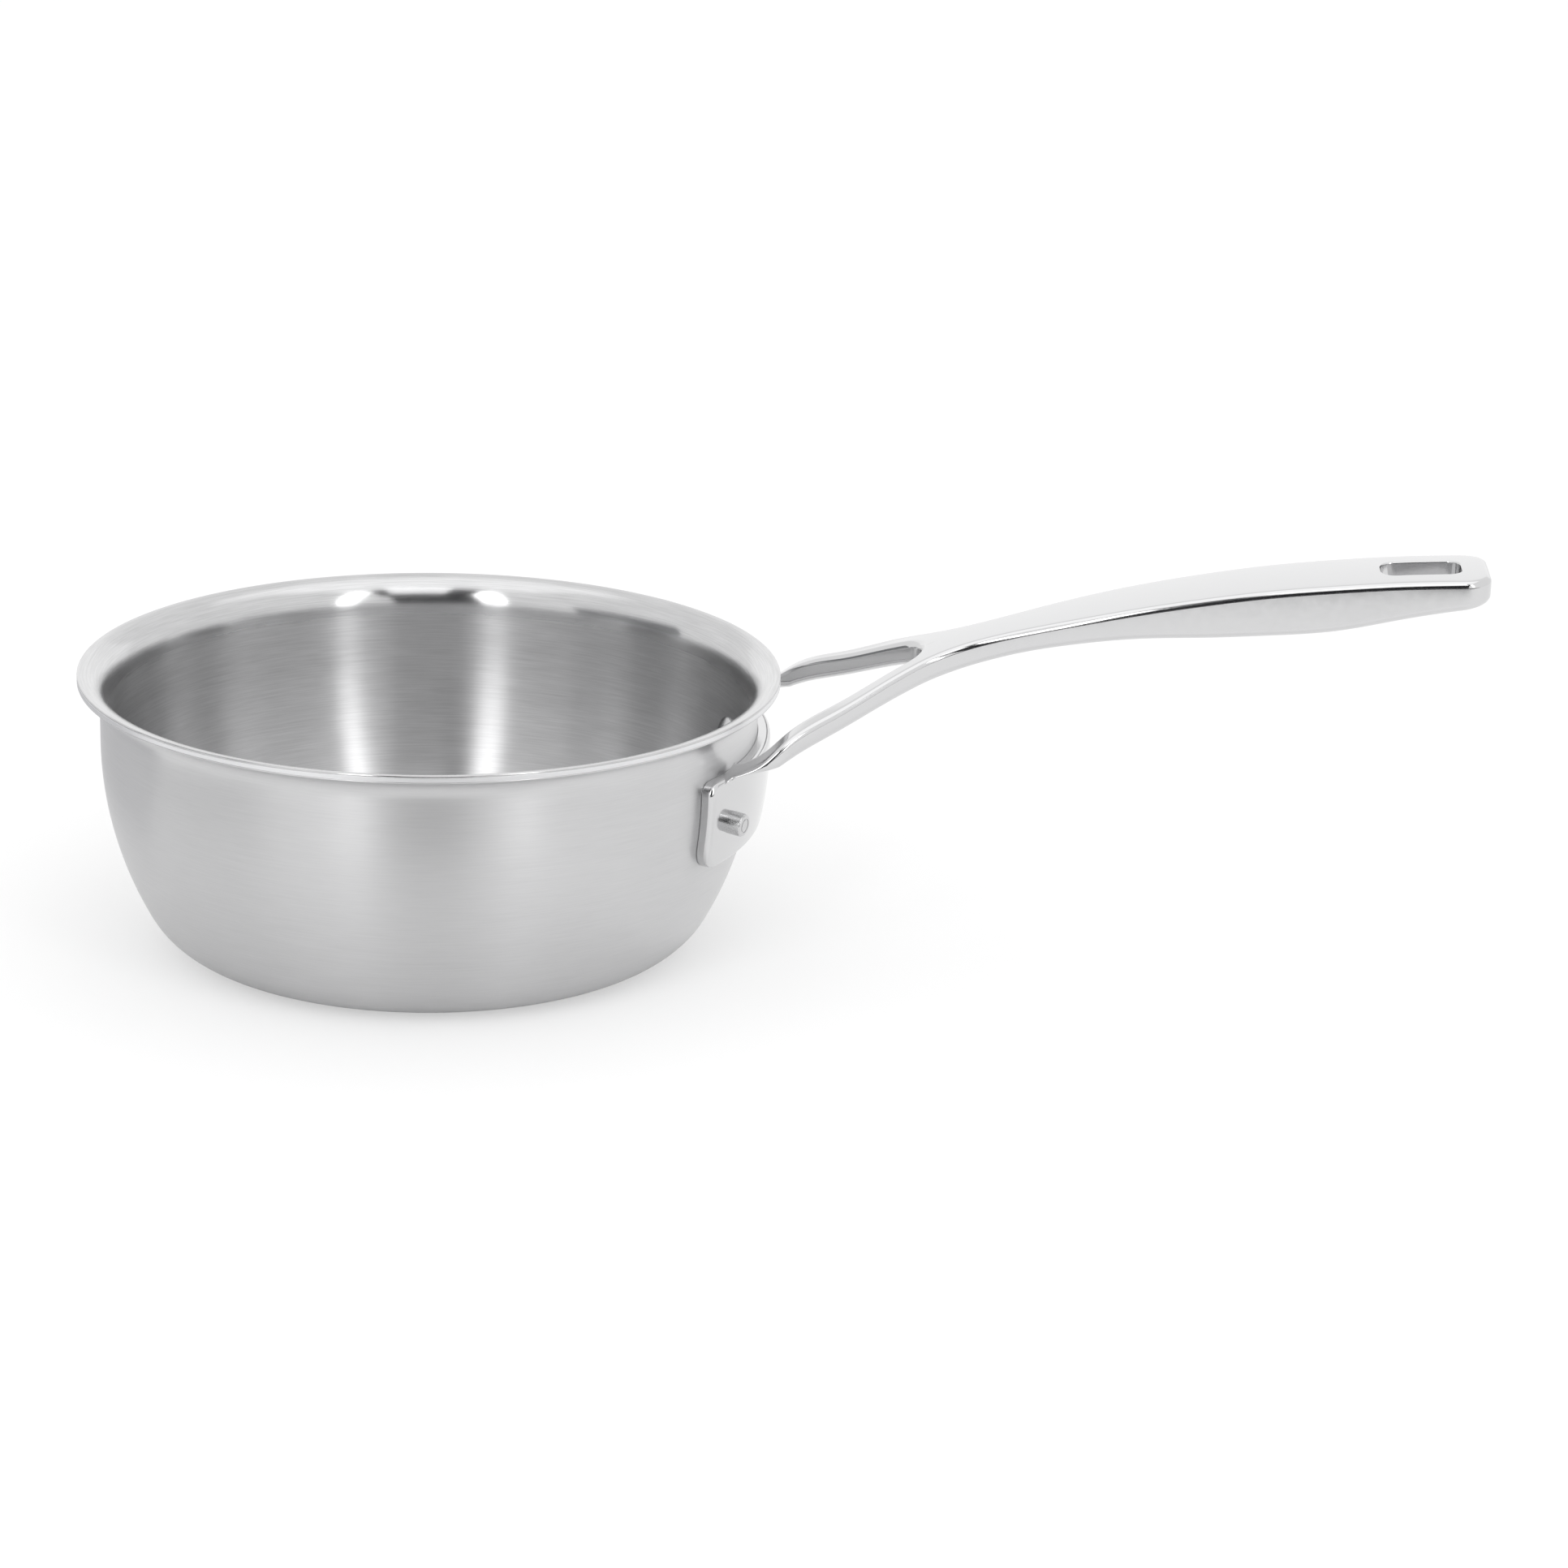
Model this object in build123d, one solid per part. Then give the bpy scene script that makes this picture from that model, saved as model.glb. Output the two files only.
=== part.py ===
from build123d import *
import math
import os

# Saucier pan: a bowl pressed from three bonded sheets, and a forked cast handle on two rivets.
# The origin is on the bowl's axis, in the plane that the bowl stands on.
# +X runs along the handle and +Z is up. Lengths are millimetres, angles are degrees.

# Bowl
mouth_radius = 100.0
inner_ply_thickness = 0.6
core_ply_thickness = 1.4
outer_ply_thickness = 0.5
base_radius = 67.2
neck_length = 11.9
rim_height = 87.9
flare_radius = 6.9
lip_edge_radius = 0.3
# How much of the way from the base's edge out to the neck the bowl's lower corner takes
corner_share = 0.694

# Handle pad, which follows the wall and hangs this far below the rim
pad_drop = 17.9
pad_height = 28.7
pad_thickness = 4.1
pad_half_angle = 30.7
pad_low_corner = 8.0
pad_high_corner = 4.0
pad_edge_radius = 1.8

# Handle arms and grip, in plan
handle_length = 224.1
arm_spread = 92.6
arm_width = 7.8
arm_knee_reach = 7.5
arm_angle = 34.6
arm_knee_radius = 16.0
fork_nose_radius = 14.0
waist_width = 21.6
waist_blend_radius = 34.0
grip_width = 33.0
tip_corner_radius = 8.0

# Handle arms and grip, from the side
handle_rise = 61.7
grip_depth = 14.7
crown_radius = 245.0
top_edge_radius = 1.6
bottom_edge_radius = 2.4

# Underside of each arm where it grows out of the pad
root_start_depth = 0.3
root_end_depth = 7.4
root_end_share = 0.105

# Hollow under the grip
hollow_wall = 3.4
hollow_roof = 3.6
hollow_end_radius = 6.0
hollow_start_reach = 92.0
hollow_start_width = 17.0

# Hanging slot
slot_length = 24.6
slot_width = 14.6
slot_corner_radius = 4.5
slot_end_land = 8.7
slot_edge_radius = 0.5

# Rivets, this far below the pad's top
rivet_drop = 14.8
rivet_half_angle = 23.6
rivet_shank_radius = 3.2
rivet_clearance = 0.02
rivet_head_radius = 7.0
rivet_head_height = 2.8
rivet_head_edge = 0.5
rivet_tail_radius = 3.6
rivet_tail_height = 4.4
rivet_tail_round = 0.7
rivet_ring_radius = 2.3
rivet_ring_width = 0.35
rivet_ring_depth = 0.2

# How far a cutting tool runs past what it cuts
overrun = 3.0

# Sizes that follow from those above
wall_thickness = inner_ply_thickness + core_ply_thickness + outer_ply_thickness
neck_radius = mouth_radius + wall_thickness
lip_radius = neck_radius + flare_radius
flare_start = rim_height - wall_thickness - flare_radius
belly_top = flare_start - neck_length
# The belly is the arc that runs on smoothly from the lower corner and into the upright neck
swell = neck_radius - base_radius
corner_radius = corner_share * swell
belly_rise = belly_top - corner_radius
belly_radius = (swell**2 + belly_rise**2 - corner_radius**2) / (2 * (swell - corner_radius))
belly_centre = neck_radius - belly_radius
corner_turn = math.degrees(math.atan2(belly_radius - swell, belly_rise))
pad_top = rim_height - pad_drop
pad_bottom = pad_top - pad_height
rivet_height = pad_top - rivet_drop
tip_x = neck_radius + handle_length
root_x = neck_radius - 3 * pad_thickness

# Side view of the handle: share of its length out from the neck, share of its rise that the top
# reaches there above the pad, and share of the grip's depth
side_shares = [
    (-0.055, 0.049, 0.340),
    (0.007, 0.133, 0.354),
    (0.043, 0.227, 0.449),
    (0.115, 0.331, 0.483),
    (0.185, 0.434, 0.510),
    (0.279, 0.554, 0.537),
    (0.368, 0.650, 0.517),
    (0.435, 0.716, 0.558),
    (0.524, 0.794, 0.680),
    (0.614, 0.859, 0.864),
    (0.703, 0.912, 0.980),
    (0.792, 0.950, 0.986),
    (0.881, 0.979, 0.810),
    (1.000, 1.000, 0.558),
]

# Swell of the grip from its waist to its full width: share of that length, share of that growth
swell_shares = [
    (0.00, 0.00),
    (0.18, 0.42),
    (0.44, 0.82),
    (0.72, 0.98),
    (1.00, 1.00),
]


def wall_line(inset):
    """The bowl's section line, this far inside its outer surface, from the axis out to the lip."""
    floor = Line((0, inset), (base_radius, inset))
    corner = CenterArc((base_radius, corner_radius), corner_radius - inset, -90, corner_turn)
    belly = CenterArc((belly_centre, belly_top), belly_radius - inset, corner_turn - 90, 90 - corner_turn)
    neck = Line((neck_radius - inset, belly_top), (neck_radius - inset, flare_start))
    flare = CenterArc((lip_radius, flare_start), flare_radius + inset, 180, -90)
    return [floor, corner, belly, neck, flare]


def lip_height(inset):
    return flare_start + flare_radius + inset


def sheet_section(outer_inset, inner_inset):
    """The section of the bowl between two insets from its outer surface."""
    lip = Line((lip_radius, lip_height(outer_inset)), (lip_radius, lip_height(inner_inset)))
    axis = Line((0, outer_inset), (0, inner_inset))
    return make_face(wall_line(outer_inset) + wall_line(inner_inset) + [lip, axis])


def round_lip(section, height):
    """The section with the corner of its lip at this height rounded off."""
    lip_corners = section.vertices().filter_by(lambda v: abs(v.Y - height) < lip_edge_radius)
    return fillet(lip_corners.sort_by(Axis.X)[-1], lip_edge_radius)


def turned(section):
    return revolve(Plane.XZ * section, axis=Axis.Z)


def bowl_shell():
    """The whole thickness of the bowl in one solid, for shaping what sits against it."""
    return turned(sheet_section(0, wall_thickness))


def bowl_block():
    """All the room inside the bowl's outer surface up to its lip."""
    lip = Line((lip_radius, lip_height(0)), (0, lip_height(0)))
    axis = Line((0, lip_height(0)), (0, 0))
    return turned(make_face(wall_line(0) + [lip, axis]))


def rivet_plane(side):
    """The plane on the bowl's outer surface where a rivet passes, with Z out along the rivet."""
    around = math.radians(side * rivet_half_angle)
    # The wall is upright above the belly's top
    drop = max(belly_top - rivet_height, 0)
    tilt = math.asin(drop / belly_radius)
    radius = belly_centre + belly_radius * math.cos(tilt)
    outward = (math.cos(tilt) * math.cos(around), math.cos(tilt) * math.sin(around), -math.sin(tilt))
    spot = (radius * math.cos(around), radius * math.sin(around), rivet_height)
    return Plane(origin=spot, z_dir=outward)


def rod(radius, low, high):
    """A round rod on local Z between two heights."""
    return Pos(0, 0, low) * Cylinder(radius, high - low, align=(Align.CENTER, Align.CENTER, Align.MIN))


def rivet_holes():
    hole_radius = rivet_shank_radius + rivet_clearance
    hole = rod(hole_radius, -wall_thickness - overrun, pad_thickness + overrun)
    return [rivet_plane(side) * hole for side in (1, -1)]


def ply(outer_inset, inner_inset, rounded_height=None):
    """One bonded sheet of the bowl with its two rivet holes."""
    section = sheet_section(outer_inset, inner_inset)
    if rounded_height is not None:
        section = round_lip(section, rounded_height)
    return turned(section) - rivet_holes()


def pad():
    """The curved plate on the wall, a sector of the wall's own section moved outwards.

    It starts halfway into the wall, whose room is cut out of the casting afterwards."""
    sunk = wall_thickness / 2
    belly = CenterArc((belly_centre, belly_top), belly_radius - sunk, corner_turn - 90, 90 - corner_turn)
    neck = Line((neck_radius - sunk, belly_top), (neck_radius - sunk, rim_height))
    skin_radius = belly_radius + pad_thickness
    skin = CenterArc((belly_centre, belly_top), skin_radius, corner_turn - 90, 90 - corner_turn)
    skin_neck = Line((neck_radius + pad_thickness, belly_top), (neck_radius + pad_thickness, rim_height))
    foot = Line(belly @ 0, skin @ 0)
    cap = Line(neck @ 1, skin_neck @ 1)
    band = make_face([belly, neck, cap, skin_neck, skin, foot])
    window_place = Pos(neck_radius, (pad_top + pad_bottom) / 2)
    section = band & (window_place * Rectangle(neck_radius, pad_height))
    plate = revolve(Plane.XZ * section, axis=Axis.Z, revolution_arc=2 * pad_half_angle)
    plate = Rot(0, 0, -pad_half_angle) * plate
    across = plate.edges().filter_by(lambda e: abs(e.length - pad_thickness - sunk) < pad_thickness / 4)
    plate = fillet(across.sort_by(Axis.Z)[:2], pad_low_corner)
    across = plate.edges().filter_by(lambda e: abs(e.length - pad_thickness - sunk) < pad_thickness / 4)
    plate = fillet(across.sort_by(Axis.Z)[-2:], pad_high_corner)
    skin_face = plate.faces().sort_by(lambda f: f.center().X * f.area)[-1]
    return fillet(skin_face.edges(), pad_edge_radius)


def mirrored(edges):
    return edges + [mirror(edge, about=Plane.XZ) for edge in edges]


def swell_line(start_x, end_x, start_side, end_side):
    """The grip's side seen from above, which swells from its waist to its full width."""
    points = [
        (start_x + share * (end_x - start_x), start_side + growth * (end_side - start_side))
        for share, growth in swell_shares
    ]
    return Spline(points, tangents=[(1, 0), (1, 0)])


def handle_outline():
    """The outline of both arms and the grip seen from above, with the fork still filled in."""
    slope = math.radians(arm_angle)
    arm_side = arm_spread / 2
    waist_side = waist_width / 2
    grip_side = grip_width / 2
    knee_x = neck_radius + arm_knee_reach
    knee_cut = arm_knee_radius * math.tan(slope / 2)
    meet_x = knee_x + (arm_side - waist_side) / math.tan(slope)
    blend_cut = waist_blend_radius * math.tan(slope / 2)
    waist_x = meet_x + blend_cut
    root_side = Line((root_x, arm_side), (knee_x - knee_cut, arm_side))
    knee = CenterArc((knee_x - knee_cut, arm_side - arm_knee_radius), arm_knee_radius, 90, -arm_angle)
    blend_centre = (waist_x, waist_side + waist_blend_radius)
    blend = CenterArc(blend_centre, waist_blend_radius, 270 - arm_angle, arm_angle)
    arm = Line(knee @ 1, blend @ 0)
    corner_x = tip_x - tip_corner_radius
    grip = swell_line(waist_x, corner_x, waist_side, grip_side)
    corner = CenterArc((corner_x, grip_side - tip_corner_radius), tip_corner_radius, 90, -90)
    half = [root_side, knee, arm, blend, grip, corner]
    root = Line((root_x, -arm_side), (root_x, arm_side))
    end = Line((tip_x, tip_corner_radius - grip_side), (tip_x, grip_side - tip_corner_radius))
    return make_face(mirrored(half) + [root, end])


def fork_gap():
    """The opening between the arms seen from above, from inside the bowl's wall to the fork's nose."""
    slope = math.tan(math.radians(arm_angle))
    inner_side = arm_spread / 2 - arm_width
    knee_shift = arm_width * math.tan(math.radians(arm_angle / 2))
    knee_x = neck_radius + arm_knee_reach - knee_shift
    nose_x = knee_x + inner_side / slope
    start_x = root_x - overrun
    sides = FilletPolyline(
        (start_x, -inner_side),
        (knee_x, -inner_side),
        (nose_x, 0),
        (knee_x, inner_side),
        (start_x, inner_side),
        radius=[arm_knee_radius - arm_width, fork_nose_radius, arm_knee_radius - arm_width],
    )
    back = Line((start_x, inner_side), (start_x, -inner_side))
    return make_face(sides.edges() + [back])


def side_line(drop):
    """The handle's line in side view: its top with drop 0, its underside with drop 1."""
    points = [
        (neck_radius + reach * handle_length, pad_top + rise * handle_rise - drop * depth * grip_depth)
        for reach, rise, depth in side_shares
    ]
    return Spline(points)


def crowned(section):
    """A side-view section swept over a low axis, so that its top and underside are crowned."""
    axis = Axis((0, 0, pad_top - crown_radius), (1, 0, 0))
    sweep = 2 * math.degrees(math.asin(arm_spread / crown_radius))
    solid = revolve(Plane.XZ * section, axis=axis, revolution_arc=sweep)
    return solid.rotate(axis, -sweep / 2)


def handle_bar():
    """Arms and grip: the plan outline cut to the crowned side view, with rounded edges."""
    top = side_line(0)
    underside = side_line(1)
    root = Line(underside @ 0, top @ 0)
    end = Line(underside @ 1, top @ 1)
    body = crowned(make_face([top, end, underside, root]))
    plan = extrude(handle_outline() - fork_gap(), tip_x)
    bar = plan & body
    upward = bar.faces().filter_by(lambda f: f.normal_at().Z > 0.5)
    bar = fillet(long_edges(upward.sort_by(SortBy.AREA)[-1]), top_edge_radius)
    downward = bar.faces().filter_by(lambda f: f.normal_at().Z < -0.5)
    bar = fillet(long_edges(downward.sort_by(SortBy.AREA)[-1]), bottom_edge_radius)
    return bar - root_relief()


def root_relief():
    """What is cut from below so that each arm thins where it grows out of the pad."""
    top = side_line(0)
    start = top @ 0 - Vector(0, root_start_depth)
    end = top @ root_end_share - Vector(0, root_end_depth)
    back_x = root_x - overrun
    outline = Polyline(
        (back_x, pad_bottom),
        (back_x, start.Y),
        start,
        end,
        (end.X, pad_bottom),
        close=True,
    )
    return crowned(make_face(outline.edges()))


def long_edges(face):
    """A face's edges except its ends inside the pad."""
    return face.edges().filter_by(lambda e: e.center().X > root_x + pad_thickness)


def slot_face():
    """The hanging slot seen from above."""
    centre_x = tip_x - slot_end_land - slot_length / 2
    return Pos(centre_x, 0) * RectangleRounded(slot_length, slot_width, slot_corner_radius)


def slotted(bar):
    """The bar with its hanging slot, whose upper edge is rounded."""
    bar = bar - extrude(slot_face(), tip_x)
    upward = bar.faces().filter_by(lambda f: f.normal_at().Z > 0.5)
    top_face = upward.sort_by(SortBy.AREA)[-1]
    return fillet(top_face.inner_wires()[0].edges(), slot_edge_radius)


def hollow():
    """The room under the grip, inside its side walls and below its roof."""
    start = neck_radius + hollow_start_reach
    end = tip_x - slot_end_land - slot_length - hollow_wall
    side = swell_line(start, end, hollow_start_width / 2, grip_width / 2 - hollow_wall)
    half = [Line((start, 0), side @ 0), side, Line(side @ 1, (end, 0))]
    plan = make_face(mirrored(half))
    plan = fillet(plan.vertices().filter_by(lambda v: abs(v.Y) > hollow_start_width / 4), hollow_end_radius)
    roof = side_line(0).moved(Pos(0, -hollow_roof))
    low_start = (roof.position_at(0).X, pad_top)
    low_end = (roof.position_at(1).X, pad_top)
    section = make_face([
        roof,
        Line(roof @ 1, low_end),
        Line(low_end, low_start),
        Line(low_start, roof @ 0),
    ])
    return extrude(plan, tip_x) & crowned(section)


def handle():
    """The casting: bar and pad in one, with its hollow, slot and rivet holes."""
    bar = slotted(handle_bar() - hollow())
    casting = bar + pad() - bowl_block()
    return casting - rivet_holes()


def rivet(side):
    """One rivet: domed head on the inner sheet, shank, and formed tail on the pad."""
    head_seat = -wall_thickness
    head_top = head_seat - rivet_head_height
    dome = make_face([
        Line((0, head_top), (0, head_seat + overrun / 2)),
        Line((0, head_seat + overrun / 2), (rivet_head_radius, head_seat + overrun / 2)),
        Line((rivet_head_radius, head_seat + overrun / 2), (rivet_head_radius, head_seat - rivet_head_edge)),
        ThreePointArc(
            (rivet_head_radius, head_seat - rivet_head_edge),
            rivet_dome_point(head_seat - rivet_head_edge, head_top),
            (0, head_top),
        ),
    ])
    place = rivet_plane(side)
    head = place * revolve(Plane.XZ * dome, axis=Axis.Z) - bowl_shell()
    tail_end = pad_thickness + rivet_tail_height
    tail = rod(rivet_tail_radius, pad_thickness - rivet_head_edge, tail_end)
    tail = fillet(tail.edges().group_by(Axis.Z)[-1], rivet_tail_round)
    ring_outer = rod(rivet_ring_radius, tail_end - rivet_ring_depth, tail_end + overrun)
    ring = ring_outer - rod(rivet_ring_radius - rivet_ring_width, 0, tail_end + overrun)
    tail = place * (tail - ring) - pad()
    shank = place * rod(rivet_shank_radius, head_top / 2, pad_thickness + rivet_tail_height / 2)
    return head + shank + tail


def rivet_dome_point(edge_height, top_height):
    """A point on the dome's arc, from its sagitta and the head's radius."""
    sagitta = edge_height - top_height
    sphere = (rivet_head_radius ** 2 + sagitta ** 2) / (2 * sagitta)
    half = rivet_head_radius / 2
    return (half, top_height + sphere - math.sqrt(sphere ** 2 - half ** 2))


def outer_ply():
    return ply(0, outer_ply_thickness, lip_height(0))


def core_ply():
    return ply(outer_ply_thickness, outer_ply_thickness + core_ply_thickness)


def inner_ply():
    return ply(outer_ply_thickness + core_ply_thickness, wall_thickness, lip_height(wall_thickness))


def save(name, shape):
    export_step(shape, "parts/" + name + ".step")
    print(name, len(shape.solids()), "solid", round(shape.volume), "mm3")


os.makedirs("parts", exist_ok=True)
save("outer_ply", outer_ply())
save("core_ply", core_ply())
save("inner_ply", inner_ply())
save("handle", handle())
save("rivet_left", rivet(1))
save("rivet_right", rivet(-1))
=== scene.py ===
# %% [markdown]
# A saucier pan, seen as a set of metal pieces
#
# The pan is a bowl pressed from three bonded sheets, a forked handle cast in one piece with
# the curved pad that lies on the wall, and two rivets. The engineering model gives every piece
# its size and place. This notebook makes the same pieces again as smooth meshes, because a
# polished surface shows each facet, and gives them their steel.

# %% The fixed frame
import math
import bmesh
import bpy
import numpy as np
from mathutils import Matrix, Vector


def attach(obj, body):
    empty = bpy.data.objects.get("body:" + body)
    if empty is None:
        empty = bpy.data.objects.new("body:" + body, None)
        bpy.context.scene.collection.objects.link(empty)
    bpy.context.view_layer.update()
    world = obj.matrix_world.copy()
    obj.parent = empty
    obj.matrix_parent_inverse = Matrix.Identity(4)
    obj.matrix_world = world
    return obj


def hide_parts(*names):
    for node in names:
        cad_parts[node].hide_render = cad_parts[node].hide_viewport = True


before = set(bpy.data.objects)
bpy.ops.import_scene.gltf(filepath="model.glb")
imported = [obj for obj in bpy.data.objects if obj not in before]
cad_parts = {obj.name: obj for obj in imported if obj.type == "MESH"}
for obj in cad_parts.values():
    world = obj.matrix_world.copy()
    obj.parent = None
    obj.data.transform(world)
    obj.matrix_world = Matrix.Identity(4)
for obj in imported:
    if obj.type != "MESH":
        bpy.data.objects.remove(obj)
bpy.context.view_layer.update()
print("pieces in the frame:", ", ".join(sorted(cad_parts)))

# %% [markdown]
# Sizes
#
# Lengths are in millimetres, as on the drawing, and one factor makes them metres where a mesh
# is made. The driving sizes are the drawing's own, so that each mesh lies where its solid does.
# The one exception is the round along the casting's top edge: the drawing has 1.6, and the
# photographed edge line is as broad as a round of 2.0 makes it.

# %% Sizes of the bowl
MM = 0.001
HALF_TURN = math.pi
QUARTER_TURN = HALF_TURN / 2
FULL_TURN = 2 * HALF_TURN
MOUTH_RADIUS = 100.0
INNER_SHEET = 0.6
CORE_SHEET = 1.4
OUTER_SHEET = 0.5
WALL = INNER_SHEET + CORE_SHEET + OUTER_SHEET
NECK_RADIUS = MOUTH_RADIUS + WALL
BASE_RADIUS = 67.2
NECK_LENGTH = 11.9
RIM_HEIGHT = 87.9
FLARE_RADIUS = 6.9
CORNER_SHARE = 0.694
LIP_ROUND = 0.3
SHEET_EDGE_ROUND = 0.12

LIP_RADIUS = NECK_RADIUS + FLARE_RADIUS
FLARE_START = RIM_HEIGHT - WALL - FLARE_RADIUS
BELLY_TOP = FLARE_START - NECK_LENGTH
BOWL_SWELL = NECK_RADIUS - BASE_RADIUS
CORNER_RADIUS = CORNER_SHARE * BOWL_SWELL
BELLY_RISE = BELLY_TOP - CORNER_RADIUS
BELLY_RADIUS = (
    (BOWL_SWELL ** 2 + BELLY_RISE ** 2 - CORNER_RADIUS ** 2) / (2 * (BOWL_SWELL - CORNER_RADIUS))
)
BELLY_CENTRE = NECK_RADIUS - BELLY_RADIUS
CORNER_TURN = math.atan2(BELLY_RADIUS - BOWL_SWELL, BELLY_RISE)
print("belly radius", round(BELLY_RADIUS, 1), "mm, top of the belly at", round(BELLY_TOP, 1), "mm")

# %% Sizes of the handle
PAD_THICKNESS = 4.1
PAD_HALF_ANGLE = math.radians(30.7)
PAD_BOTTOM = 41.3
PAD_TOP = 70.0
PAD_LOW_CORNER = 8.0
PAD_HIGH_CORNER = 4.0
PAD_EDGE_ROUND = 1.8
PAD_SKIN_RADIUS = NECK_RADIUS + PAD_THICKNESS

HANDLE_LENGTH = 224.1
ARM_SIDE = 92.6 / 2
ARM_WIDTH = 7.8
KNEE_REACH = 7.5
ARM_ANGLE = math.radians(34.6)
KNEE_RADIUS = 16.0
NOSE_RADIUS = 14.0
WAIST_SIDE = 21.6 / 2
WAIST_RADIUS = 34.0
GRIP_SIDE = 33.0 / 2
TIP_RADIUS = 8.0
TIP_X = NECK_RADIUS + HANDLE_LENGTH

HANDLE_RISE = 61.7
GRIP_DEPTH = 14.7
CROWN_RADIUS = 245.0
TOP_ROUND = 2.0
UNDER_ROUND = 2.4
ROOT_START_DEPTH = 0.3
ROOT_END_DEPTH = 7.4
ROOT_END_X = 113.3
ROOT_FLARE = 1.6

HOLLOW_WALL = 3.4
HOLLOW_ROOF = 3.6
HOLLOW_CORNER = 6.0
HOLLOW_START = NECK_RADIUS + 92.0
HOLLOW_START_SIDE = 17.0 / 2

SLOT_LENGTH = 24.6
SLOT_SIDE = 14.6 / 2
SLOT_CORNER = 4.5
SLOT_LAND = 8.7
SLOT_ROUND = 0.5
SLOT_END = TIP_X - SLOT_LAND
SLOT_START = SLOT_END - SLOT_LENGTH
HOLLOW_END = SLOT_START - HOLLOW_WALL

# Side view: share of the handle's length out from the neck, share of its rise above the pad,
# share of the grip's depth
SIDE_SHARES = [
    (-0.055, 0.049, 0.340),
    (0.007, 0.133, 0.354),
    (0.043, 0.227, 0.449),
    (0.115, 0.331, 0.483),
    (0.185, 0.434, 0.510),
    (0.279, 0.554, 0.537),
    (0.368, 0.650, 0.517),
    (0.435, 0.716, 0.558),
    (0.524, 0.794, 0.680),
    (0.614, 0.859, 0.864),
    (0.703, 0.912, 0.980),
    (0.792, 0.950, 0.986),
    (0.881, 0.979, 0.810),
    (1.000, 1.000, 0.558),
]

# The grip's swell from its waist: share of that length, share of that growth
SWELL_SHARES = [(0.00, 0.00), (0.18, 0.42), (0.44, 0.82), (0.72, 0.98), (1.00, 1.00)]

# %% Sizes of the rivets
RIVET_HEIGHT = 55.2
RIVET_ANGLE = math.radians(23.6)
SHANK_RADIUS = 3.2
HEAD_RADIUS = 7.0
HEAD_HEIGHT = 2.8
HEAD_EDGE = 0.5
TAIL_RADIUS = 3.6
TAIL_HEIGHT = 4.4
TAIL_ROUND = 0.7
RING_RADIUS = 2.3
RING_WIDTH = 0.35
RING_DEPTH = 0.2

# %% [markdown]
# Small tools for modelling by hand
#
# In a window a modeller picks with the mouse. Here a test on place or direction does the
# picking, and the same edit-mode operators do the work. Each helper leaves nothing else
# selected, because an operator acts on everything that is.

# %% Helpers for picking and drawing
MERGE_DISTANCE = 0.004
SMOOTH_ANGLE = 40
NORMAL_WEIGHT = 80
PICK_VERTICES = (True, False, False)
PICK_EDGES = (False, True, False)
PICK_FACES = (False, False, True)
ACROSS_THE_MIDDLE = (False, True, False)


def metres(point):
    return tuple(value * MM for value in point)


def deselect():
    bpy.ops.object.select_all(action="DESELECT")


def pick(piece):
    """Makes this object the only selected and active one."""
    deselect()
    piece.select_set(True)
    bpy.context.view_layer.objects.active = piece


def edit(piece):
    pick(piece)
    bpy.ops.object.mode_set(mode="EDIT")


def edit_all(piece):
    """Opens the piece in edit mode with everything in it selected."""
    edit(piece)
    bpy.ops.mesh.select_all(action="SELECT")


def done():
    bpy.ops.object.mode_set(mode="OBJECT")


def pick_parts(piece, kind, test):
    """Selects the edges or faces of the piece in edit mode that pass the test, and counts them."""
    mode = {"edges": PICK_EDGES, "faces": PICK_FACES}[kind]
    bpy.context.tool_settings.mesh_select_mode = mode
    mesh = bmesh.from_edit_mesh(piece.data)
    for group in (mesh.verts, mesh.edges, mesh.faces):
        for part in group:
            part.select = False
    chosen = [part for part in getattr(mesh, kind) if test(part)]
    for part in chosen:
        part.select_set(True)
    bmesh.update_edit_mesh(piece.data)
    return len(chosen)


def start_point(name, point):
    """A new object with one vertex, left in edit mode: a small plane merged to its centre."""
    deselect()
    bpy.ops.mesh.primitive_plane_add(size=MM)
    piece = bpy.context.object
    piece.name = name
    piece.data.name = name
    bpy.ops.object.mode_set(mode="EDIT")
    bpy.context.tool_settings.mesh_select_mode = PICK_VERTICES
    bpy.ops.mesh.select_all(action="SELECT")
    bpy.ops.mesh.merge(type="CENTER")
    bpy.ops.transform.translate(value=metres(point))
    return piece


def extrude(step):
    """Extrudes what is selected by this step."""
    bpy.ops.mesh.extrude_region_move(TRANSFORM_OT_translate={"value": metres(step)})


def draw_line(name, points):
    """An object that is one chain of edges through these points, drawn by extruding a vertex."""
    piece = start_point(name, points[0])
    for here, there in zip(points, points[1:]):
        extrude(Vector(there) - Vector(here))
    done()
    return piece


def spin_section(name, section, steps):
    """A closed solid of revolution from a section of radius and height, round the Z axis."""
    piece = draw_line(name, [(x, 0, z) for x, z in section])
    edit_all(piece)
    bpy.ops.mesh.spin(steps=steps, angle=FULL_TURN, center=(0, 0, 0), axis=(0, 0, 1))
    done()
    tidy_normals(piece)
    return piece


def join(name, first, *others):
    pick(first)
    for other in others:
        other.select_set(True)
    bpy.ops.object.join()
    first.name = name
    first.data.name = name
    return first


def apply_modifier(piece, kind, **settings):
    """Adds one modifier with its settings and applies it."""
    pick(piece)
    modifier = piece.modifiers.new(kind.lower(), kind)
    for setting, value in settings.items():
        setattr(modifier, setting, value)
    bpy.ops.object.modifier_apply(modifier=modifier.name)


def combine(piece, tool, operation):
    """Cuts the tool out of the piece or fuses it on, and removes the tool."""
    apply_modifier(piece, "BOOLEAN", object=tool, operation=operation, solver="EXACT")
    bpy.data.objects.remove(tool)


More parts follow.
